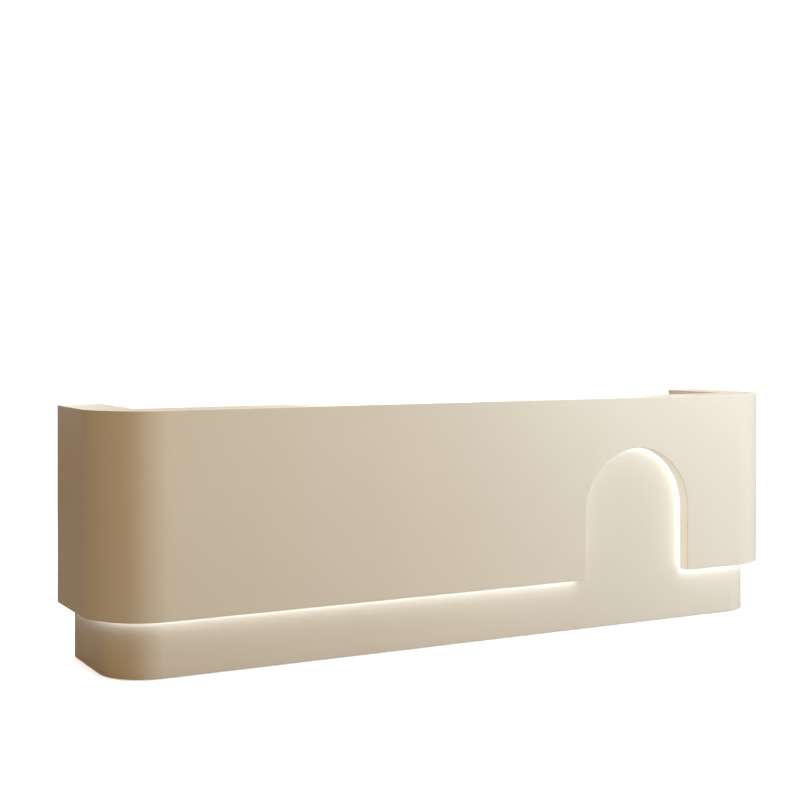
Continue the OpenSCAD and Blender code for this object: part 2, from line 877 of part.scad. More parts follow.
front_fascia();
end_fascia(-1);  // left_fascia
end_fascia(1);  // right_fascia
front_ledge();
end_ledge(-1);  // left_ledge
end_ledge(1);  // right_ledge
front_plinth();
end_plinth(-1);  // left_plinth
end_plinth(1);  // right_plinth
arch_liner();
overhang_soffit();
wing_end(-1);  // left_wing_end
wing_end(1);  // right_wing_end
front_lining();
end_lining(-1);  // left_lining
end_lining(1);  // right_lining
wall_studs();
spacer_ribs();
left_worktop();
right_worktop();
cable_grommets();
arch_led_profile();
arch_led_diffuser();
plinth_led_profiles();
plinth_led_diffusers();
led_driver();
led_wiring();
power_box();
rocker_switch();
levelling_feet();
floor_brackets();
divider_panels();
cabinet_bottoms();
toe_kicks();
shelves();
shelf_pins();
slide_rails();
for (i = [0 : 2]) {
    drawer_front(i);
    drawer_box(i);
    drawer_handle(i);
    drawer_runners(i);
}
drawer_lock();
lock_plug();
door(-1);  // left_door
door(1);  // right_door
door_handle(-1);  // left_door_handle
door_handle(1);  // right_door_handle
hinge_frame_leaves();
hinge_leaves(-1);  // left_hinge_leaves
hinge_leaves(1);  // right_hinge_leaves
keyboard_tray();
tray_runners();
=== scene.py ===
import json
import math

import bmesh
import bpy
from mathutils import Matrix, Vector


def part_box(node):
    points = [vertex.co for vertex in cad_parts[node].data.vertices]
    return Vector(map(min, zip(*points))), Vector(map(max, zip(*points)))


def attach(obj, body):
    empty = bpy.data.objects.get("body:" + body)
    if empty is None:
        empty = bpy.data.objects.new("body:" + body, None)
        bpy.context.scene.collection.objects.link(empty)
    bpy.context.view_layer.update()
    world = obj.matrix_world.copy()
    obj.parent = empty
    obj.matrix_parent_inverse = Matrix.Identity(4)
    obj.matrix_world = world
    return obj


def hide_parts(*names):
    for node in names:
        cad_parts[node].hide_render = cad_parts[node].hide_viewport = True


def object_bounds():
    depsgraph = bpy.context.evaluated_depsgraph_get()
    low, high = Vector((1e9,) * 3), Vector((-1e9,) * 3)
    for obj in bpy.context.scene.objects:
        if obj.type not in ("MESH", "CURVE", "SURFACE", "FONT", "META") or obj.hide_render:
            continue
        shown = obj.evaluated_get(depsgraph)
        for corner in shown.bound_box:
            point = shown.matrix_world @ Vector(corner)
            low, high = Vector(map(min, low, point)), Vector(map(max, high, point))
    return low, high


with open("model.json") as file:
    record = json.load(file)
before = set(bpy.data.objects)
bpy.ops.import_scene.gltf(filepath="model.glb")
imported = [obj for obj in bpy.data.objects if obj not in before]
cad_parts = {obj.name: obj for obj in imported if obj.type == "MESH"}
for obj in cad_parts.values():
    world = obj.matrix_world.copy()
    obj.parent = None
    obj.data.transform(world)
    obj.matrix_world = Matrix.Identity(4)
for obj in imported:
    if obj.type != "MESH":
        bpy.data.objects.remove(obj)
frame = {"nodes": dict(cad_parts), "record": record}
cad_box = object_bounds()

# The counter in metres: +X along it, the customers' side towards -Y, the staff towards +Y.

# ---------------------------------------------------------------- the frame's sizes

half_length = cad_box[1].x
front_y = cad_box[0].y
back_y = cad_box[1].y
top_z = cad_box[1].z


def size(node):
    low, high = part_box(node)
    return high - low


def middle_of(low, high):
    return (low + high) / 2


SLOT_OF = {part["node"]: part["material_slot"] for part in frame["record"]["subparts"]}
BODY_OF = {node: body for body, nodes in frame["record"]["behaviour"]["bodies"].items() for node in nodes}

corner_radius = size("left_fascia").x
corner_x = half_length - corner_radius
corner_y = front_y + corner_radius
board = size("front_fascia").y
fascia_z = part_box("front_fascia")[0].z
ledge_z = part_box("front_ledge")[0].z
ledge_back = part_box("front_ledge")[1].y
plinth_low, plinth_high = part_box("front_plinth")
plinth_depth = plinth_low.y - front_y
plinth_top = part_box("left_plinth")[1].z

# The wall of the arch's lining, and how far the plinth's tongue reaches past the arch at each side.
LINER_WALL = 0.012
TONGUE_MARGIN = 0.060
liner_low, liner_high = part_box("arch_liner")
arch_x = (liner_low.x + liner_high.x) / 2
arch_radius = (liner_high.x - liner_low.x) / 2 - LINER_WALL
arch_spring = liner_high.z - LINER_WALL - arch_radius
tongue_half = arch_radius + TONGUE_MARGIN

# Facets of a quarter-round corner and of the half-round arch.
CORNER_STEPS = 48
ARCH_STEPS = 96

# ---------------------------------------------------------------- camera, lights, floor

# The view was solved from the counter's edges: the camera stands in front, past the counter's left
# end and higher than its ledge, and looks level towards its middle.
VIEW_YAW = math.radians(28.39)
CAMERA_PLACE = Vector((-3.454, -5.914, 1.430))
LENS = 65.35
SENSOR = 36.0
SHIFT_Y = -0.089
CLIP_END = 200.0

# The world's own light, and the colours and strengths of the two diffusers and of the floor's lift.
WORLD_WARM = (0.375, 0.214, 0.085)
PLINTH_LED_COLOUR = (0.95, 0.97, 1.0)
ARCH_LED_COLOUR = (0.87, 0.94, 1.0)
PLINTH_LED = 9.0
ARCH_LED = 3.2
FLOOR_LIFT = 0.55
FLOOR_HALF = 40.0


def make_camera():
    camera = bpy.data.objects.new("camera", bpy.data.cameras.new("camera"))
    camera.data.lens = LENS
    camera.data.sensor_width = SENSOR
    camera.data.shift_y = SHIFT_Y
    camera.data.clip_end = CLIP_END
    camera.location = CAMERA_PLACE
    camera.rotation_euler = (math.radians(90), 0, -VIEW_YAW)
    bpy.context.scene.collection.objects.link(camera)
    bpy.context.scene.camera = camera


def area_light(name, place, aim, width, height, power, colour):
    data = bpy.data.lights.new(name, "AREA")
    data.shape = "RECTANGLE"
    data.size = width
    data.size_y = height
    data.energy = power
    data.color = colour
    light = bpy.data.objects.new(name, data)
    light.location = place
    light.rotation_euler = (Vector(aim) - Vector(place)).to_track_quat("-Z", "Y").to_euler()
    bpy.context.scene.collection.objects.link(light)
    return light


def sun_light(name, tilt, strength, colour, angle):
    data = bpy.data.lights.new(name, "SUN")
    data.energy = strength
    data.color = colour
    data.angle = math.radians(angle)
    light = bpy.data.objects.new(name, data)
    light.rotation_euler = tilt
    bpy.context.scene.collection.objects.link(light)


def group_of(name, objects):
    """A collection that a light's linking can name."""
    group = bpy.data.collections.new(name)
    for thing in objects:
        group.objects.link(thing)
    return group


def make_lights(overhang, reveal):
    """A broad overhead, soft boxes at the customers' right and left, and two on the staff side. The
    key doesn't let the overhang shade the set-back faces, and a fill lights the arch's reveal."""
    sun_light("overhead", tilt=(0, 0, 0), strength=2.2, colour=(0.74, 0.89, 1.0), angle=20)
    key = area_light("key", place=(4.2, -4.2, 2.6), aim=(0.6, 0, 0.6), width=2.4, height=2.4,
                     power=290, colour=(0.79, 0.91, 1.0))
    shadeless = group_of("no_shade_from_key", overhang)
    for member in shadeless.collection_objects:
        member.light_linking.link_state = "EXCLUDE"
    key.light_linking.blocker_collection = shadeless
    fill = area_light("reveal_fill", place=(-1.0, -3.0, 0.35), aim=(arch_x, front_y, 0.7),
                      width=1.2, height=0.6, power=82, colour=(0.95, 0.98, 0.97))
    fill.light_linking.receiver_collection = group_of("lit_by_reveal_fill", [reveal])
    area_light("left_fill", place=(-2.0, -5.0, 2.0), aim=(-0.8, 0, 0.6), width=2.0, height=2.0,
               power=36, colour=(1.0, 0.85, 0.48))
    area_light("staff_key", place=(2.2, 3.4, 2.6), aim=(0, 0, 0.5), width=2.4, height=2.4,
               power=68, colour=(0.88, 0.96, 1.0))
    area_light("staff_fill", place=(-1.6, 4.4, 2.0), aim=(0, 0, 0.5), width=2.4, height=2.0,
               power=46, colour=(0.87, 0.96, 1.0))


def make_world():
    """Dim warm light from all round, which the camera sees as white."""
    world = bpy.data.worlds.new("studio")
    bpy.context.scene.world = world
    world.use_nodes = True
    tree = world.node_tree
    tree.nodes.clear()
    path = tree.nodes.new("ShaderNodeLightPath")
    warm = tree.nodes.new("ShaderNodeBackground")
    warm.inputs["Color"].default_value = (*WORLD_WARM, 1)
    white = tree.nodes.new("ShaderNodeBackground")
    white.inputs["Color"].default_value = (1, 1, 1, 1)
    mix = tree.nodes.new("ShaderNodeMixShader")
    out = tree.nodes.new("ShaderNodeOutputWorld")
    tree.links.new(path.outputs["Is Camera Ray"], mix.inputs["Fac"])
    tree.links.new(warm.outputs[0], mix.inputs[1])
    tree.links.new(white.outputs[0], mix.inputs[2])
    tree.links.new(mix.outputs[0], out.inputs["Surface"])


def make_floor():
    mesh = bpy.data.meshes.new("floor")
    corners = [(x * FLOOR_HALF, y * FLOOR_HALF, 0) for x, y in ((-1, -1), (1, -1), (1, 1), (-1, 1))]
    mesh.from_pydata(corners, [], [(0, 1, 2, 3)])
    mesh.materials.append(floor_material())
    floor = bpy.data.objects.new("floor", mesh)
    bpy.context.scene.collection.objects.link(floor)


# ---------------------------------------------------------------- materials


class Shader:
    """A principled material whose patterns are laid out in the frame's own metres."""

    def __init__(self, name):
        self.material = bpy.data.materials.new(name)
        self.material.use_nodes = True
        self.tree = self.material.node_tree
        self.shader = self.tree.nodes["Principled BSDF"]
        coordinates = self.tree.nodes.new("ShaderNodeTexCoord")
        self.place = coordinates.outputs["Object"]
        self.normal = coordinates.outputs["Normal"]

    def plug(self, socket, value):
        """Links an output to a socket, or sets the socket to a number or colour."""
        if hasattr(value, "is_output"):
            self.tree.links.new(value, socket)
        elif isinstance(value, tuple) and len(socket.default_value) == len(value) + 1:
            socket.default_value = (*value, 1)
        else:
            socket.default_value = value

    def node(self, kind, **inputs):
        node = self.tree.nodes.new(kind)
        for name, value in inputs.items():
            self.plug(node.inputs[name.replace("_", " ")], value)
        return node

    def math(self, operation, first, second=0.0):
        node = self.tree.nodes.new("ShaderNodeMath")
        node.operation = operation
        self.plug(node.inputs[0], first)
        self.plug(node.inputs[1], second)
        return node.outputs[0]

    def part(self, vector, axis):
        return self.node("ShaderNodeSeparateXYZ", Vector=vector).outputs[axis]

    def noise(self, scale, detail=2.0, stretch=(1, 1, 1), roughness=0.5, distortion=0.0):
        mapping = self.node("ShaderNodeMapping", Vector=self.place, Scale=stretch)
        texture = self.node("ShaderNodeTexNoise", Vector=mapping.outputs[0], Scale=scale, Detail=detail,
                            Roughness=roughness, Distortion=distortion)
        return texture.outputs["Fac"]

    def spread(self, value, low, high, start=0.3, end=0.7):
        ranged = self.node("ShaderNodeMapRange", Value=value, From_Min=start, From_Max=end,
                           To_Min=low, To_Max=high)
        return ranged.outputs["Result"]

    def mix(self, factor, first, second):
        node = self.tree.nodes.new("ShaderNodeMix")
        node.data_type = "RGBA"
        for name, value in (("Factor_Float", factor), ("A_Color", first), ("B_Color", second)):
            self.plug(next(i for i in node.inputs if i.identifier == name), value)
        return next(o for o in node.outputs if o.identifier == "Result_Color")

    def set(self, **inputs):
        for name, value in inputs.items():
            self.plug(self.shader.inputs[name.replace("_", " ")], value)

    def bump(self, height, depth, strength=1.0):
        node = self.node("ShaderNodeBump", Height=height, Distance=depth, Strength=strength)
        self.tree.links.new(node.outputs["Normal"], self.shader.inputs["Normal"])


def drawn_out(axis, amount):
    """A stretch that makes a pattern run along one axis."""
    return tuple(amount if name == axis else 1.0 for name in "XYZ")


def lacquer_material():
    """Sprayed satin lacquer: faint clouding in the colour, orange peel in the surface."""
    s = Shader("sprayed_lacquer")
    clouds = s.spread(s.noise(1.1, 3), 0, 1)
    s.set(Base_Color=s.mix(clouds, (0.785, 0.730, 0.636), (0.810, 0.756, 0.662)),
          Roughness=s.spread(s.noise(9.0, 4), 0.36, 0.44))
    s.bump(s.noise(420.0, 2.0), 0.00012, 0.35)
    return s.material


def melamine_material(name, shade, roughness):
    """Warm white decor paper pressed with a fine pearl texture. Shade makes it lighter or darker."""
    s = Shader(name)
    clouds = s.spread(s.noise(3.0, 3), 0, 1)
    dark = tuple(channel * shade for channel in (0.775, 0.750, 0.690))
    light = tuple(channel * shade for channel in (0.800, 0.775, 0.715))
    s.set(Base_Color=s.mix(clouds, dark, light),
          Roughness=s.spread(s.noise(160.0, 2), roughness, roughness + 0.06))
    s.bump(s.noise(900.0, 3.0), 0.00006, 0.5)
    return s.material


# The thickness of one light and one dark layer of the plywood.
PLY_PAIR = 0.0030


def ply_material(across, along):
    """Birch plywood: the grain runs along one axis, and the layers show where they are cut."""
    s = Shader(f"birch_ply_{across}{along}")
    grain = s.noise(190.0, 6, drawn_out(along, 0.05), 0.6, 0.3)
    figure = s.noise(9.0, 3, drawn_out(along, 0.25), 0.5, 1.2)
    face = s.mix(s.spread(grain, 0, 1, 0.35, 0.65), (0.66, 0.50, 0.31), (0.80, 0.655, 0.45))
    face = s.mix(s.spread(figure, 0, 0.35, 0.45, 0.75), face, (0.72, 0.545, 0.34))
    wave = s.math("SINE", s.math("MULTIPLY", s.part(s.place, across), 2 * math.pi / PLY_PAIR))
    fibres = s.noise(700.0, 2, drawn_out(along, 0.3))
    layers = s.mix(s.spread(wave, 0, 1, -0.5, 0.2), (0.36, 0.22, 0.115), (0.72, 0.56, 0.36))
    layers = s.mix(s.spread(fibres, 0, 0.4), layers, (0.50, 0.35, 0.20))
    cut = s.math("LESS_THAN", s.math("ABSOLUTE", s.part(s.normal, across)), 0.5)
    s.set(Base_Color=s.mix(cut, face, layers), Roughness=s.spread(grain, 0.42, 0.56))
    s.bump(grain, 0.00015, 0.4)
    return s.material


def pine_material(along):
    """Planed softwood with growth rings and a few knots."""
    s = Shader(f"planed_pine_{along}")
    mapping = s.node("ShaderNodeMapping", Vector=s.place, Scale=drawn_out(along, 0.06))
    rings = s.node("ShaderNodeTexWave", Vector=mapping.outputs[0], Scale=55.0, Distortion=5.0, Detail=3.0)
    knots = s.node("ShaderNodeTexVoronoi", Vector=s.place, Scale=5.0).outputs["Distance"]
    wood = s.mix(s.spread(rings.outputs["Fac"], 0, 1, 0.2, 0.9), (0.74, 0.56, 0.34), (0.56, 0.36, 0.18))
    s.set(Base_Color=s.mix(s.spread(knots, 1, 0, 0.05, 0.10), wood, (0.24, 0.12, 0.05)),
          Roughness=s.spread(s.noise(80.0), 0.55, 0.7))
    s.bump(rings.outputs["Fac"], 0.0002, 0.4)
    return s.material


def zinc_material():
    """Bright zinc plating: pale blue and yellow clouds, and fine spangle in the gloss."""
    s = Shader("zinc_plating")
    clouds = s.spread(s.noise(30.0, 3), 0, 1)
    s.set(Base_Color=s.mix(clouds, (0.66, 0.69, 0.73), (0.75, 0.75, 0.72)), Metallic=1.0,
          Roughness=s.spread(s.noise(240.0, 4), 0.26, 0.42))
    s.bump(s.noise(600.0, 2.0), 0.00004, 0.4)
    return s.material


def brushed_material(name, along, dark, light, roughness):
    """Metal with fine lines along one axis, from a brush or from an extrusion die."""
    s = Shader(name)
    lines = s.noise(1500.0, 3, drawn_out(along, 0.012), 0.6)
    s.set(Base_Color=s.mix(s.spread(lines, 0, 1), dark, light), Metallic=1.0,
          Roughness=s.spread(lines, roughness, roughness + 0.12))
    s.bump(lines, 0.00003, 0.5)
    return s.material


def nickel_material(along):
    return brushed_material(f"satin_nickel_{along}", along, (0.60, 0.575, 0.53), (0.70, 0.68, 0.64), 0.26)


def aluminium_material():
    return brushed_material("anodised_aluminium", "Z", (0.76, 0.77, 0.78), (0.82, 0.83, 0.84), 0.32)


def plastic_material(name, dark, light, roughness, grain=1300.0):
    """Moulded plastic with a spark-eroded grain."""
    s = Shader(name)
    s.set(Base_Color=s.mix(s.spread(s.noise(12.0, 3), 0, 1), dark, light),
          Roughness=s.spread(s.noise(200.0, 3), roughness, roughness + 0.12))
    s.bump(s.noise(grain, 2.0), 0.00008, 0.5)
    return s.material


def sheath_material():
    """Soft black cable sheath with faint rings from the extruder."""
    s = Shader("cable_sheath")
    s.set(Base_Color=s.mix(s.spread(s.noise(40.0, 3), 0, 1), (0.022, 0.022, 0.024), (0.04, 0.04, 0.042)),
          Roughness=s.spread(s.noise(300.0, 3), 0.42, 0.58))
    s.bump(s.noise(1800.0, 2.0), 0.00006, 0.6)
    return s.material


def opal_material(name, strength, colour):
    """The lit face of a diffuser."""
    s = Shader(name)
    s.set(Base_Color=(0.93, 0.91, 0.86), Roughness=s.spread(s.noise(60.0), 0.45, 0.55),
          Emission_Color=colour, Emission_Strength=strength)
    return s.material


def floor_material():
    """A pale painted floor, lit through a little so that it reads white. Light that bounces off it
    is damped, as in a studio with black flags."""
    s = Shader("studio_floor")
    clouds = s.spread(s.noise(0.8, 4), 0, 1)
    s.set(Base_Color=s.mix(clouds, (0.80, 0.88, 0.94), (0.83, 0.91, 0.97)),
          Roughness=s.spread(s.noise(5.0, 3), 0.55, 0.7), Specular_IOR_Level=0.2,
          Emission_Color=(1.0, 1.0, 1.0), Emission_Strength=FLOOR_LIFT)
    s.bump(s.noise(160.0, 3.0), 0.0002, 0.3)
    dull = s.node("ShaderNodeBsdfDiffuse", Color=(0.17, 0.15, 0.13))
    path = s.node("ShaderNodeLightPath")
    mix = s.node("ShaderNodeMixShader", Fac=path.outputs["Is Camera Ray"])
    s.plug(mix.inputs[1], dull.outputs[0])
    s.plug(mix.inputs[2], s.shader.outputs[0])
    s.plug(s.tree.nodes["Material Output"].inputs["Surface"], mix.outputs[0])
    return s.material


EDGE_BAND = melamine_material("melamine_edge_band", 1.03, 0.26)
MATERIALS = {
    "cream_lacquer": lacquer_material(),
    "white_melamine": melamine_material("pearl_melamine", 1.0, 0.36),
    "birch_ply": ply_material("Z", "X"),
    "softwood": pine_material("Z"),
    "zinc_steel": zinc_material(),
    "satin_steel": nickel_material("X"),
    "aluminium": aluminium_material(),
    "opal_diffuser": opal_material("lit_plinth_diffuser", PLINTH_LED, PLINTH_LED_COLOUR),
    "black_plastic": plastic_material("black_moulding", (0.020, 0.020, 0.022), (0.032, 0.032, 0.034),
                                      0.40),
    "white_plastic": plastic_material("white_moulding", (0.76, 0.76, 0.74), (0.82, 0.82, 0.80), 0.34),
    "red_plastic": plastic_material("red_moulding", (0.42, 0.020, 0.014), (0.50, 0.030, 0.020), 0.22,
                                    grain=700.0),
    "cable_sheath": sheath_material(),
}

# ---------------------------------------------------------------- mesh helpers

# Corners within WELD of each other are one corner, and an edge shorter than SLIVER is dissolved.
WELD = 0.00001
SLIVER = 0.000001
# Faces that turn by less than FLAT become one, and an edge that turns by more than SHARP is rounded.
FLAT = math.radians(0.5)
SHARP = math.radians(28)
# Shading runs over an edge where the product of the two faces' normals is more than BLENDS.
BLENDS = math.cos(math.radians(46))
# A face whose normal has more than this along +Y is on the staff side.
FACES_BACK = 0.99


def weigh_normals(mesh):
    """Smooth shading in which a large face keeps its own normal, the small round edges blend, and
    an edge that isn't rounded stays sharp."""
    mesh.shade_smooth()
    normals = [face.normal.copy() for face in mesh.polygons]
    areas = [face.area for face in mesh.polygons]
    around = [[] for _ in mesh.vertices]
    for face in mesh.polygons:
        for v in face.vertices:
            around[v].append(face.index)
    corners = []
    for face in mesh.polygons:
        own = normals[face.index]
        for v in face.vertices:
            total = Vector()
            for other in around[v]:
                if own.dot(normals[other]) > BLENDS:
                    total += normals[other] * areas[other]
            corners.append(total.normalized())
    mesh.normals_split_custom_set(corners)


def round_edges(bm, edge, steps=3, keep_sharp=None):
    """Rounds the sharp edges, apart from those that keep_sharp picks out."""
    sharp = [e for e in bm.edges if len(e.link_faces) == 2 and e.calc_face_angle(0) > SHARP
             and not (keep_sharp and keep_sharp(e))]
    bmesh.ops.bevel(bm, geom=sharp, offset=edge, segments=steps, profile=0.5, affect="EDGES",
                    clamp_overlap=True)


def make_piece(bm, name, body, slot, nodes=(), edge=0.0, steps=3, keep_sharp=None, materials=()):
    """Rounds a mesh's sharp edges, shades it and lets it stand for CAD nodes on a body."""
    bmesh.ops.recalc_face_normals(bm, faces=bm.faces)
    if edge:
        round_edges(bm, edge, steps, keep_sharp)
    bmesh.ops.dissolve_degenerate(bm, dist=SLIVER, edges=bm.edges)
    mesh = bpy.data.meshes.new(name)
    bm.to_mesh(mesh)
    bm.free()
    for material in materials or (MATERIALS[slot],):
        mesh.materials.append(material)
    weigh_normals(mesh)
    piece = bpy.data.objects.new(name, mesh)
    bpy.context.scene.collection.objects.link(piece)
    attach(piece, body)
    if nodes:
        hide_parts(*nodes)
    return piece


def welded(node):
    """A CAD node's mesh with its corners joined."""
    bm = bmesh.new()
    bm.from_mesh(frame["nodes"][node].data)
    bmesh.ops.remove_doubles(bm, verts=bm.verts, dist=WELD)
    return bm


def solids(node):
    """The lowest and highest corner of each separate solid of a CAD node, from left to right."""
    bm = welded(node)
    unseen = set(bm.verts)
    boxes = []
    while unseen:
        reached = [unseen.pop()]
        for vert in reached:
            for edge in vert.link_edges:
                other = edge.other_vert(vert)
                if other in unseen:
                    unseen.remove(other)
                    reached.append(other)
        corners = [[pick(v.co[i] for v in reached) for i in range(3)] for pick in (min, max)]
        boxes.append(tuple(Vector(c) for c in corners))
    bm.free()
    return sorted(boxes, key=lambda box: tuple(round(c, 4) for c in (*box[0], *box[1])))


def rounded(node, edge, steps=2, banded=False):
    """A CAD node's own shape with its edges eased. A banded board has edging on its staff side."""
    bm = welded(node)
    bmesh.ops.dissolve_limit(bm, angle_limit=FLAT, verts=bm.verts, edges=bm.edges)
    slot = SLOT_OF[node]
    materials = [MATERIALS[slot]]
    if banded:
        materials.append(EDGE_BAND)
        edge_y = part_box(node)[1].y
        for face in bm.faces:
            on_edge = face.normal.y > FACES_BACK and face.calc_center_median().y > edge_y - WELD
            face.material_index = 1 if on_edge else 0
    return make_piece(bm, f"{node}_piece", BODY_OF[node], slot, (node,), edge, steps,
                      materials=materials)


def add_box(bm, low, high):
    """A box between two corners."""
    corners = [bm.verts.new((x, y, z)) for x in (low[0], high[0]) for y in (low[1], high[1])
               for z in (low[2], high[2])]
    for a, b, c, d in ((0, 1, 3, 2), (4, 6, 7, 5), (0, 4, 5, 1), (2, 3, 7, 6), (0, 2, 6, 4),
                       (1, 5, 7, 3)):
        bm.faces.new([corners[i] for i in (a, b, c, d)])


CROSS_WAIST = 0.45


def cross_radius(radius, angle):
    """The outline of a cross recess, which narrows to its waist between the arms."""
    return radius * (CROSS_WAIST + (1 - CROSS_WAIST) * abs(math.cos(2 * angle)) ** 3)


def add_lathe(bm, profile, place, towards, steps=32, crosses=(), closed=False):
    """Turns a profile of radius and height about an axis. The rings in crosses are cross-shaped."""
    turn = Vector((0, 0, 1)).rotation_difference(Vector(towards)).to_matrix()
    rings = []
    for i, (radius, height) in enumerate(profile):
        ring = []
        for k in range(steps if radius else 1):
            angle = 2 * math.pi * k / steps
            r = cross_radius(radius, angle) if i in crosses else radius
            point = Vector((r * math.cos(angle), r * math.sin(angle), height))
            ring.append(bm.verts.new(Vector(place) + turn @ point))
        rings.append(ring)
    for low, high in zip(rings, rings[1:] + rings[:1] if closed else rings[1:]):
        for k in range(steps):
            m = (k + 1) % steps
            corners = [low[k % len(low)], low[m % len(low)], high[m % len(high)], high[k % len(high)]]
            bm.faces.new([v for i, v in enumerate(corners) if v not in corners[:i]])


def arc(centre, radius, start, end, steps):
    """Points on an arc, with angles in degrees."""
    angles = [math.radians(start + (end - start) * i / steps) for i in range(steps + 1)]
    return [(centre[0] + radius * math.cos(a), centre[1] + radius * math.sin(a)) for a in angles]


def end_path(side, depth):
    """The plan outline of one end, from the back of the wing to the front, at a depth."""
    radius = corner_radius - depth
    round_part = arc((corner_x, corner_y), radius, 0, -90, CORNER_STEPS)
    path = [(half_length - depth, back_y)] + round_part
    return [(side * x, y) for x, y in path]


def bent_wall(depths, heights, low_edge=(), high_edge=()):
    """A wall round the front and both ends. Along the front its lower or its upper edge may follow
    an outline, given as points in X and Z from left to right."""
    bm = bmesh.new()
    corners = [(d, z) for d in depths for z in heights]

    def columns(side):
        paths = {d: end_path(side, d) for d in depths}
        return [[bm.verts.new((*paths[d][i], z)) for d, z in corners]
                for i in range(len(paths[depths[0]]))]

    def join(run):
        for a, b in zip(run, run[1:]):
            for i, j in ((0, 1), (1, 3), (3, 2), (2, 0)):
                bm.faces.new((a[i], a[j], b[j], b[i]))
        bm.faces.new([run[0][i] for i in (0, 1, 3, 2)])

    left, right = columns(-1), columns(1)
    join(left)
    join(right)
    edges = {}
    for level, outline in ((0, low_edge), (1, high_edge)):
        for layer, depth in enumerate(depths):
            points = [bm.verts.new((x, front_y + depth, z)) for x, z in outline]
            edges[layer, level] = [left[-1][2 * layer + level], *points, right[-1][2 * layer + level]]
    for layer in (0, 1):
        bm.faces.new(edges[layer, 0] + edges[layer, 1][::-1])
    for level in (0, 1):
        outer, inner = edges[0, level], edges[1, level]
        for i in range(len(outer) - 1):
            bm.faces.new((outer[i], outer[i + 1], inner[i + 1], inner[i]))
    return bm


def prism(outline, bottom, top):
    """A closed outline in X and Y pushed up along Z."""
    bm = bmesh.new()
    first, last = ([bm.verts.new((x, y, level)) for x, y in outline] for level in (bottom, top))
    bm.faces.new(first)
    bm.faces.new(last[::-1])
    for i in range(len(outline)):
        j = (i + 1) % len(outline)
        bm.faces.new((first[i], first[j], last[j], last[i]))
    return bm


# ---------------------------------------------------------------- lacquered outer shells

OUTER_EDGE = 0.002
INNER_EDGE = 0.0015
# Tolerances for picking out the edges that stay sharp.
SAME_PLACE = 0.000001
JUST_PAST = 0.001


def arch_outline(radius, foot):
    """Up the left side of the arch, over it and down the right side."""
    head = arc((arch_x, arch_spring), radius, 180, 0, ARCH_STEPS)
    return [(arch_x - radius, foot), *head, (arch_x + radius, foot)]


def depth_of(p):
    """How far a point is behind the outer face."""
    x, y = abs(p.x), p.y
    if x > corner_x and y < corner_y:
        return corner_radius - math.hypot(x - corner_x, y - corner_y)
    return min(half_length - x, y - front_y)


def upper_skin():
    """The upper body's skin. Its edges against the ledge and the arch's lining stay sharp."""
    bm = bent_wall((0.0, board), (fascia_z, top_z), low_edge=arch_outline(arch_radius, fascia_z))
    inner_y = front_y + board

    def hidden(edge):
        ends = [v.co for v in edge.verts]
        on_top_inside = all(abs(p.z - top_z) < SAME_PLACE and depth_of(p) > board / 2 for p in ends)
        in_arch = all(abs(p.y - inner_y) < SAME_PLACE and abs(p.x - arch_x) < arch_radius + JUST_PAST
                      for p in ends)
        return on_top_inside or in_arch

    return make_piece(bm, "upper_skin", "carcass", "cream_lacquer",
                      ("front_fascia", "left_fascia", "right_fascia"), OUTER_EDGE, keep_sharp=hidden)


def ledge_top():
    """The flat ledge inside the skin. Its edges against the skin stay sharp."""
    outer = end_path(-1, board) + end_path(1, board)[::-1]
    ledge_x = half_length - (ledge_back - front_y)
    inner = [(ledge_x, back_y), (ledge_x, ledge_back), (-ledge_x, ledge_back), (-ledge_x, back_y)]
    bm = prism(outer + inner, ledge_z, top_z)

    def hidden(edge):
        return all(depth_of(v.co) < board + JUST_PAST for v in edge.verts)

    return make_piece(bm, "ledge_top", "carcass", "cream_lacquer",
                      ("front_ledge", "left_ledge", "right_ledge"), INNER_EDGE, keep_sharp=hidden)


def plinth_skin():
    """The plinth, whose front rises behind the arch as a square-topped tongue."""
    tongue = [(arch_x - tongue_half, plinth_top), (arch_x - tongue_half, plinth_high.z),
              (arch_x + tongue_half, plinth_high.z), (arch_x + tongue_half, plinth_top)]
    bm = bent_wall((plinth_depth, plinth_depth + board), (plinth_low.z, plinth_top), high_edge=tongue)
    make_piece(bm, "plinth_skin", "carcass", "cream_lacquer",
               ("front_plinth", "left_plinth", "right_plinth"), INNER_EDGE)


def swept_round_arch(section, foot):
    """A closed section of radius and depth, swept up the arch's left side, over and down its right."""
    bm = bmesh.new()
    runs = [[bm.verts.new((x, front_y + depth, z)) for x, z in arch_outline(radius, foot)]
            for radius, depth in section]
    for run, beside in zip(runs, runs[1:] + runs[:1]):
        for i in range(len(run) - 1):
            bm.faces.new((run[i], run[i + 1], beside[i + 1], beside[i]))
    for end in (0, -1):
        bm.faces.new([run[end] for run in runs])
    return bm


# The thin skin over the front board's cut edge: its thickness, where it starts behind the front, and
# the round at its back edge, whose middle point is REVEAL_ROUND from the square corner.
REVEAL_SKIN = 0.0004
REVEAL_START = 0.0022
REVEAL_EDGE = 0.001
REVEAL_ROUND = 0.3 * REVEAL_EDGE


def arch_reveal():
    """The arch's lining. A thin skin of it runs forward over the cut edge of the front board."""
    start, end = liner_low.y - front_y, liner_high.y - front_y
    inner, outer = arch_radius, arch_radius + LINER_WALL
    skin = inner - REVEAL_SKIN
    section = [(skin, REVEAL_START), (skin, end - REVEAL_EDGE), (skin + REVEAL_ROUND, end - REVEAL_ROUND),
               (skin + REVEAL_EDGE, end), (outer, end), (outer, start), (inner, start),
               (inner, REVEAL_START)]
    bm = swept_round_arch(section, liner_low.z)
    return make_piece(bm, "arch_reveal", "carcass", "cream_lacquer", ("arch_liner",))


# The diffuser's face: how many facets it has across, and how far its middle stands out each way.
DIFFUSER_STEPS = 6
DIFFUSER_BULGE = 0.001


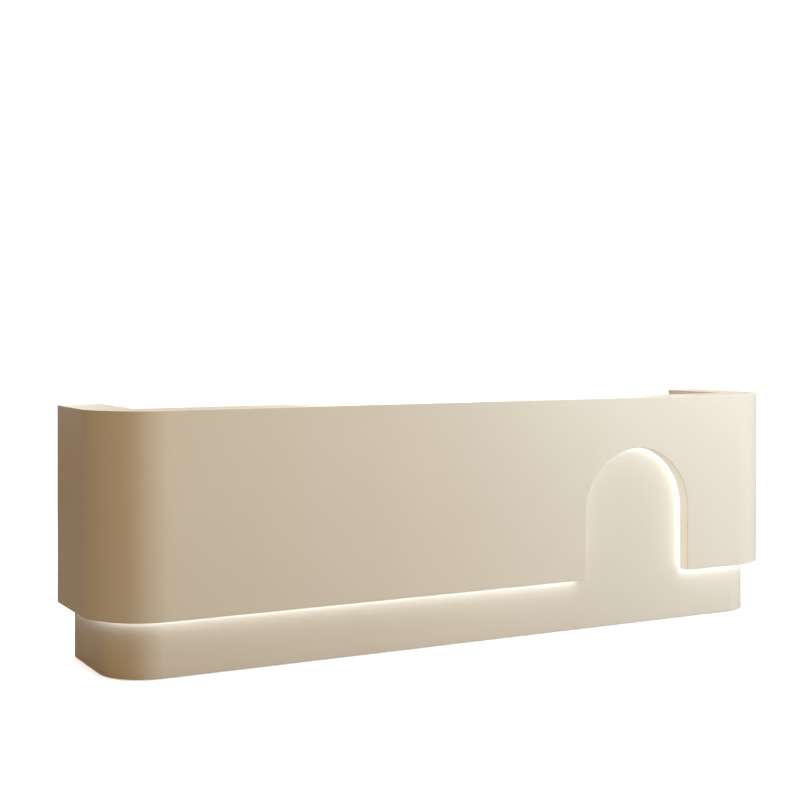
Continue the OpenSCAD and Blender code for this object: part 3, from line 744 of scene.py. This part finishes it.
def arch_glow():
    """The arch's diffuser: it faces the back panel from behind the reveal, and its face bulges."""
    low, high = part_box("arch_led_diffuser")
    near, far = low.y - front_y, high.y - front_y
    outer = (high.x - low.x) / 2
    section = [(outer, near)]
    for i in range(DIFFUSER_STEPS + 1):
        share = i / DIFFUSER_STEPS
        bulge = DIFFUSER_BULGE * math.sin(math.pi * share)
        section.append((arch_radius + (outer - arch_radius) * share - bulge,
                        near + (far - near) * share + bulge))
    lit = opal_material("lit_arch_diffuser", ARCH_LED, ARCH_LED_COLOUR)
    make_piece(swept_round_arch(section, low.z), "arch_glow", "carcass", "opal_diffuser",
               ("arch_led_diffuser",), materials=(lit,))


CHANNEL_WIDTH = 0.016
# An end cap's thickness and edge, how much narrower it is at each side, and how far it hangs below.
LED_CAP = 0.0025
LED_CAP_EDGE = 0.0006
LED_CAP_INSET = 0.0002
LED_CAP_LIP = 0.0005


def plinth_light():
    """The light channels under the overhang, shortened a little for a cap on each back end."""
    pieces = []
    for node in ("plinth_led_profiles", "plinth_led_diffusers"):
        bm = welded(node)
        for vert in bm.verts:
            if vert.co.y > back_y - WELD:
                vert.co.y -= LED_CAP
        pieces.append(make_piece(bm, f"{node}_piece", "carcass", SLOT_OF[node], (node,)))
    low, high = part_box("plinth_led_profiles")
    bm = bmesh.new()
    for side in (-1, 1):
        near = side * (high.x - LED_CAP_INSET)
        far = side * (high.x - CHANNEL_WIDTH + LED_CAP_INSET)
        add_box(bm, (min(near, far), back_y - LED_CAP, low.z - LED_CAP_LIP),
                (max(near, far), back_y, high.z))
    make_piece(bm, "plinth_light_caps", "carcass", "white_plastic", edge=LED_CAP_EDGE, steps=2)
    return pieces


# ---------------------------------------------------------------- screws

# The radius of each kind of screw's head.
BRACKET_SCREW = 0.004
POWER_SCREW = 0.0025
DRIVER_SCREW = 0.003
BOX_SIDE_SCREW = 0.003
BOX_FRONT_SCREW = 0.0035
SLIDE_SCREW = 0.003
FRAME_LEAF_SCREW = 0.0028
DOOR_LEAF_SCREW = 0.0025

screw_groups = {}


def add_screw(body, place, towards, radius):
    """A pan-head screw with a cross recess, kept with the others on the same body."""
    head = [(0, -0.001), (radius, -0.001), (radius, 0), (radius * 0.93, radius * 0.20),
            (radius * 0.70, radius * 0.36), (radius * 0.62, radius * 0.38),
            (radius * 0.52, radius * 0.14), (0, radius * 0.10)]
    bm = screw_groups.setdefault(body, bmesh.new())
    add_lathe(bm, head, place, towards, steps=24, crosses=(5, 6))


def finish_screws():
    """Makes one piece of all the screws on each body."""
    for body, bm in screw_groups.items():
        make_piece(bm, f"{body}_screws", body, "zinc_steel")


# ---------------------------------------------------------------- feet and fixings

PAD_RADIUS = 0.020
PAD_EDGE = 0.0015
# Anything this tall is a cabinet leg, and anything lower is a threaded foot.
LEG_HEIGHT = 0.050
THREAD_DEPTH = 0.0007
BRACKET_PLATE = 0.003
BRACKET_SCREW_INSET = 0.015


def thread(radius, start, end, pitch):
    """The profile of a screw thread, as rings."""
    turns = int((end - start) / pitch)
    heights = [start + (end - start) * i / (2 * turns) for i in range(2 * turns + 1)]
    return [(radius - THREAD_DEPTH * (i % 2), z) for i, z in enumerate(heights)]


def feet():
    """Threaded feet under the walls, and plastic cabinet legs under the bottom boards."""
    bm = bmesh.new()
    pad = [(0, 0), (PAD_RADIUS - PAD_EDGE, 0), (PAD_RADIUS, PAD_EDGE), (PAD_RADIUS, 0.004)]
    for low, high in solids("levelling_feet"):
        middle = middle_of(low, high)
        place = (middle.x, middle.y, 0)
        top = high.z
        if top < LEG_HEIGHT:
            profile = [*pad, (0.017, 0.006), (0.0095, 0.007), (0.0095, 0.012), (0.006, 0.0125),
                       *thread(0.006, 0.013, top, 0.002), (0, top)]
        else:
            profile = [*pad, (0.018, 0.006), (0.0125, 0.010), *thread(0.0125, 0.012, 0.030, 0.003),
                       (0.0155, 0.031), (0.0155, 0.058), (0.013, 0.060), (0.013, top - 0.008),
                       (0.020, top - 0.004), (0.020, top), (0, top)]
        add_lathe(bm, profile, place, (0, 0, 1), steps=40)
    make_piece(bm, "levelling_feet_piece", "carcass", "black_plastic", ("levelling_feet",))


def brackets():
    """Steel angles on the floor, each with two screws into the wall."""
    rounded("floor_brackets", edge=0.0008)
    for low, high in solids("floor_brackets"):
        for x in (low.x + BRACKET_SCREW_INSET, high.x - BRACKET_SCREW_INSET):
            place = (x, low.y + BRACKET_PLATE, high.z - BRACKET_SCREW_INSET)
            add_screw("carcass", place, (0, 1, 0), BRACKET_SCREW)


# ---------------------------------------------------------------- worktop and electrics

GROMMET_BORE = 0.026
GROMMET_SLEEVE = 0.0298
GROMMET_FLANGE = 0.003


def grommets():
    """Cable grommets: a flange with a rounded rim and a fine groove, and a sleeve with a bore."""
    bm = bmesh.new()
    bore = GROMMET_BORE
    for low, high in solids("cable_grommets"):
        middle = middle_of(low, high)
        rim = (high.x - low.x) / 2
        top = high.z - low.z
        flange = top - GROMMET_FLANGE
        profile = [(bore, 0), (GROMMET_SLEEVE, 0), (GROMMET_SLEEVE, flange), (rim, flange),
                   (rim, flange + 0.0008), (rim - 0.0008, top - 0.0006), (rim - 0.002, top),
                   (rim - 0.0045, top), (rim - 0.005, top - 0.0006), (rim - 0.0055, top),
                   (bore + 0.001, top), (bore + 0.0002, top - 0.0008), (bore, top - 0.002)]
        add_lathe(bm, profile, (middle.x, middle.y, low.z), (0, 0, 1), steps=96, closed=True)
    make_piece(bm, "cable_grommets_piece", "carcass", "black_plastic", ("cable_grommets",))


BEZEL_PROUD = 0.0012
BEZEL_SUNK = 0.001
SOCKET_FROM_SIDE = 0.034
SOCKET_OPENING = (0.0245, 0.0165)
SOCKET_BEZEL = 0.003
ROCKER_OPENING = (0.0144, 0.0206)
ROCKER_BEZEL = 0.002
POWER_SCREW_LEFT = 0.007
POWER_SCREW_RIGHT = 0.006


def bezel(bm, centre, inside, width, face_y):
    """A raised rectangular frame round an opening in the power box's face."""
    x, z = centre
    half = [inside[0] / 2, inside[1] / 2]
    wide = [half[0] + width, half[1] + width]
    for a, b, c, d in ((-wide[0], wide[0], half[1], wide[1]), (-wide[0], wide[0], -wide[1], -half[1]),
                       (-wide[0], -half[0], -half[1], half[1]), (half[0], wide[0], -half[1], half[1])):
        add_box(bm, (x + a, face_y - BEZEL_SUNK, z + c), (x + b, face_y + BEZEL_PROUD, z + d))


def power():
    """The switched mains inlet: its box, the rims round its two openings, screws and rocker."""
    rounded("power_box", edge=0.0010)
    low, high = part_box("power_box")
    middle_z = (low.z + high.z) / 2
    rocker_x = middle_of(*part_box("rocker_switch")).x
    bm = bmesh.new()
    bezel(bm, (low.x + SOCKET_FROM_SIDE, middle_z), SOCKET_OPENING, SOCKET_BEZEL, high.y)
    bezel(bm, (rocker_x, middle_z), ROCKER_OPENING, ROCKER_BEZEL, high.y)
    make_piece(bm, "power_bezels", "carcass", "black_plastic", edge=0.0003, steps=2)
    for x in (low.x + POWER_SCREW_LEFT, high.x - POWER_SCREW_RIGHT):
        add_screw("carcass", (x, high.y, middle_z), (0, 1, 0), POWER_SCREW)
    rounded("rocker_switch", edge=0.0006)


LEAD_RADIUS = 0.0035
EAR = 0.010
EAR_PLATE = 0.003
OUTPUT_GLAND_FROM_WALL = 0.018
MAINS_GLAND_FROM_WALL = 0.016
GLAND_SUNK = 0.001
RIBS = 13
RIB_INSET_X = 0.030
RIB_INSET_Z = 0.006
RIB_HALF = 0.0015
RIB_PROUD = 0.0015
RIB_SUNK = 0.001


def driver():
    """The light driver: cooling ribs on its cover, cable glands, and screws through its ears."""
    rounded("led_driver", edge=0.0016)
    low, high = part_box("led_driver")
    middle_z = (low.z + high.z) / 2
    bm = bmesh.new()
    for i in range(RIBS):
        x = low.x + RIB_INSET_X + (high.x - low.x - 2 * RIB_INSET_X) * i / (RIBS - 1)
        add_box(bm, (x - RIB_HALF, high.y - RIB_SUNK, low.z + RIB_INSET_Z),
                (x + RIB_HALF, high.y + RIB_PROUD, high.z - RIB_INSET_Z))
    round_edges(bm, edge=0.0006, steps=2)
    gland = [(0, 0), (0.0075, 0), (0.0075, 0.003), (0.0060, 0.0035), (0.0060, 0.008), (0.0042, 0.010),
             (0, 0.010)]
    add_lathe(bm, gland, (high.x - EAR, low.y + OUTPUT_GLAND_FROM_WALL, middle_z), (1, 0, 0), steps=24)
    mains_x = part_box("led_wiring")[0].x + LEAD_RADIUS
    mains_place = (mains_x, low.y + MAINS_GLAND_FROM_WALL, high.z - GLAND_SUNK)
    add_lathe(bm, gland, mains_place, (0, 0, 1), steps=24)
    make_piece(bm, "driver_ribs_and_glands", "carcass", "white_plastic")
    for x in (low.x + EAR / 2, high.x - EAR / 2):
        add_screw("carcass", (x, low.y + EAR_PLATE, middle_z), (0, 1, 0), DRIVER_SCREW)


CLIPS = 3
CLIPS_AFTER_DRIVER = 0.06
CLIPS_BEFORE_POWER = 0.03
CLIP_HALF_WIDTH = 0.0055
CLIP_HALF_LENGTH = 0.004


def leads():
    """The leads inside the counter, made rounder than the CAD's, and the clips that hold them."""
    piece = make_piece(welded("led_wiring"), "led_wiring_piece", "carcass", "cable_sheath",
                       ("led_wiring",))
    smooth = piece.modifiers.new("smooth", "SUBSURF")
    smooth.levels = smooth.render_levels = 1
    clips = bmesh.new()
    mains_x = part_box("led_wiring")[0].x + LEAD_RADIUS
    mains_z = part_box("led_wiring")[1].z - LEAD_RADIUS
    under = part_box("left_worktop")[0].z
    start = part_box("led_driver")[1].y + CLIPS_AFTER_DRIVER
    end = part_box("power_box")[0].y - CLIPS_BEFORE_POWER
    for i in range(CLIPS):
        y = start + (end - start) * i / (CLIPS - 1)
        add_box(clips, (mains_x - CLIP_HALF_WIDTH, y - CLIP_HALF_LENGTH, mains_z - CLIP_HALF_WIDTH),
                (mains_x + CLIP_HALF_WIDTH, y + CLIP_HALF_LENGTH, under))
    make_piece(clips, "lead_clips", "carcass", "white_plastic", edge=0.0015)


# ---------------------------------------------------------------- drawers, doors and tray

PLY_BY_AXES = {}


def ply_for(low, high):
    """The plywood whose layers are stacked across a board and whose grain runs along it."""
    extent = high - low
    order = sorted(range(3), key=lambda i: extent[i])
    axes = "XYZ"[order[0]], "XYZ"[order[2]]
    if axes not in PLY_BY_AXES:
        PLY_BY_AXES[axes] = ply_material(*axes)
    return PLY_BY_AXES[axes]


BOARD_EDGE = 0.0009
SCREW_ROW_INSET = 0.020
# A box that is taller than this has a third row of screws.
TWO_ROWS_UP_TO = 0.12
SIDE_SCREW_INSET = 0.006
FRONT_SCREW_INSET = 0.070
FRONT_BOARD = 0.012


def drawer_box(node):
    """A drawer box of plywood boards, with screws through its sides and behind its front."""
    body = BODY_OF[node]
    bm = bmesh.new()
    materials = []
    for low, high in solids(node):
        material = ply_for(low, high)
        if material not in materials:
            materials.append(material)
        board_mesh = bmesh.new()
        add_box(board_mesh, low, high)
        bmesh.ops.recalc_face_normals(board_mesh, faces=board_mesh.faces)
        round_edges(board_mesh, BOARD_EDGE, steps=2)
        for face in board_mesh.faces:
            face.material_index = materials.index(material)
        scratch = bpy.data.meshes.new("scratch")
        board_mesh.to_mesh(scratch)
        board_mesh.free()
        bm.from_mesh(scratch)
        bpy.data.meshes.remove(scratch)
    make_piece(bm, f"{node}_piece", body, "birch_ply", (node,), materials=materials)
    low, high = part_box(node)
    rows = [low.z + SCREW_ROW_INSET, high.z - SCREW_ROW_INSET]
    if high.z - low.z > TWO_ROWS_UP_TO:
        rows.insert(1, (low.z + high.z) / 2)
    for z in rows:
        for y in (low.y + SIDE_SCREW_INSET, high.y - SIDE_SCREW_INSET):
            add_screw(body, (low.x, y, z), (-1, 0, 0), BOX_SIDE_SCREW)
            add_screw(body, (high.x, y, z), (1, 0, 0), BOX_SIDE_SCREW)
        for x in (low.x + FRONT_SCREW_INSET, high.x - FRONT_SCREW_INSET):
            add_screw(body, (x, high.y - FRONT_BOARD, z), (0, -1, 0), BOX_FRONT_SCREW)


HANDLE_BAR = 0.008
HANDLE_EDGE = 0.0026
HANDLE_SPACING = 0.128


def bar_handle(node):
    """A satin bar with rounded edges on two flared posts."""
    low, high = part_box(node)
    upright = high.z - low.z > high.x - low.x
    along = Vector((0, 0, 1)) if upright else Vector((1, 0, 0))
    gap = high.y - HANDLE_BAR - low.y
    bm = bmesh.new()
    add_box(bm, (low.x, high.y - HANDLE_BAR, low.z), high)
    bmesh.ops.recalc_face_normals(bm, faces=bm.faces)
    round_edges(bm, HANDLE_EDGE, steps=5)
    post = [(0, 0), (0.0070, 0), (0.0070, 0.0008), (0.0064, 0.0016), (0.0050, 0.0024), (0.0042, 0.0042),
            (0.0040, 0.0070), (0.0040, gap - 0.0040), (0.0043, gap - 0.0015), (0.0047, gap + 0.0010),
            (0, gap + 0.0010)]
    for side in (-1, 1):
        foot = middle_of(low, high) + along * side * HANDLE_SPACING / 2
        add_lathe(bm, post, (foot.x, low.y, foot.z), (0, 1, 0), steps=32)
    material = nickel_material("Z") if upright else MATERIALS["satin_steel"]
    make_piece(bm, f"{node}_piece", BODY_OF[node], "satin_steel", (node,), materials=(material,))


RAIL_WEB = 0.0015
# Slide members further than this past the drawers belong to the keyboard tray.
PAST_THE_DRAWERS = 0.05


def slides():
    """Slide members with eased edges, and the screws that hold them to the carcass."""
    for node in ("slide_rails", "top_drawer_runners", "middle_drawer_runners", "bottom_drawer_runners",
                 "tray_runners"):
        rounded(node, edge=0.0004)
    drawer_low, drawer_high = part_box("top_drawer_box")
    middle = middle_of(drawer_low, drawer_high).x
    for low, high in solids("slide_rails"):
        if low.x > drawer_high.x + PAST_THE_DRAWERS:
            continue
        inward = 1 if middle_of(low, high).x < middle else -1
        face = low.x + RAIL_WEB if inward > 0 else high.x - RAIL_WEB
        for share in (0.1, 0.5, 0.9):
            y = low.y + (high.y - low.y) * share
            add_screw("carcass", (face, y, (low.z + high.z) / 2), (inward, 0, 0), SLIDE_SCREW)


HINGE_PLATE = 0.0015
LEAF_EDGE = 0.0003
# Where a leaf's screws are: in from its front or back edge, and up from its middle or its foot.
FRAME_LEAF_HOLES = ((0.006, -0.018), (0.014, 0), (0.006, 0.018))
DOOR_LEAF_HOLES = ((0.006, 0.008), (0.006, 0.042))


def hinges():
    """Butt hinges. Each leaf on a divider has three screws, and each on a door's edge has two."""
    doors_middle = (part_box("left_door")[1].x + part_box("right_door")[0].x) / 2

    def outward_face(low, high):
        out = 1 if low.x > doors_middle else -1
        return (out, 0, 0), low.x + HINGE_PLATE if out > 0 else high.x - HINGE_PLATE

    rounded("hinge_frame_leaves", LEAF_EDGE)
    for low, high in solids("hinge_frame_leaves"):
        towards, face = outward_face(low, high)
        centre = (low.z + high.z) / 2
        for dy, dz in FRAME_LEAF_HOLES:
            add_screw("carcass", (face, low.y + dy, centre + dz), towards, FRAME_LEAF_SCREW)
    for node in ("left_hinge_leaves", "right_hinge_leaves"):
        rounded(node, LEAF_EDGE)
        for low, high in solids(node):
            towards, face = outward_face(low, high)
            for dy, dz in DOOR_LEAF_HOLES:
                add_screw(BODY_OF[node], (face, high.y - dy, low.z + dz), towards, DOOR_LEAF_SCREW)


BUMPER_INSET = 0.012
BUMPER_FROM_FOOT = 0.009


def bumpers():
    """Soft stops on the inside of each door, at the corners of its free edge."""
    dome = [(0, 0), (0.0040, 0), (0.0040, 0.0004), (0.0034, 0.0011), (0.0020, 0.0015), (0, 0.0016)]
    for node in ("left_door", "right_door"):
        low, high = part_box(node)
        free_x = high.x - BUMPER_INSET if node == "left_door" else low.x + BUMPER_INSET
        bm = bmesh.new()
        for z in (low.z + BUMPER_FROM_FOOT, high.z - BUMPER_INSET):
            add_lathe(bm, dome, (free_x, low.y, z), (0, -1, 0), steps=20)
        make_piece(bm, f"{node}_bumpers", BODY_OF[node], "white_plastic")


# ---------------------------------------------------------------- putting it together

FRONT_EDGE = 0.0015
EASED_EDGES = {"drawer_lock": 0.0005, "lock_plug": 0.0003, "shelf_pins": 0.0005, "wall_studs": 0.0015,
               "front_lining": 0.0008, "left_lining": 0.0008, "right_lining": 0.0008,
               "left_wing_end": 0.0012, "right_wing_end": 0.0012, "toe_kicks": 0.0012}
WORKTOP_EDGE = 0.0020
BANDED_EDGE = 0.0008
OVERHANG_NODES = ("overhang_soffit", "spacer_ribs", "arch_led_profile")

bpy.context.scene.view_settings.view_transform = "Standard"
make_camera()
make_world()

skin = upper_skin()
reveal = arch_reveal()
overhang = [skin, reveal, ledge_top(), *plinth_light(), *(frame["nodes"][n] for n in OVERHANG_NODES)]
make_lights(overhang, reveal)
plinth_skin()
arch_glow()
feet()
brackets()
grommets()
power()
driver()
leads()
for name in ("top", "middle", "bottom"):
    drawer_box(f"{name}_drawer_box")
    bar_handle(f"{name}_drawer_handle")
    rounded(f"{name}_drawer_front", FRONT_EDGE, steps=3)
for name in ("left", "right"):
    bar_handle(f"{name}_door_handle")
    rounded(f"{name}_door", FRONT_EDGE, steps=3)
slides()
hinges()
bumpers()
for node, edge in EASED_EDGES.items():
    rounded(node, edge)
for node in ("left_worktop", "right_worktop"):
    rounded(node, WORKTOP_EDGE, steps=3, banded=True)
for node in ("divider_panels", "cabinet_bottoms", "shelves", "keyboard_tray"):
    rounded(node, BANDED_EDGE, banded=True)
finish_screws()
make_floor()

for node in frame["nodes"].values():
    if not node.hide_render:
        node.data.materials.clear()
        node.data.materials.append(MATERIALS[SLOT_OF[node.name]])
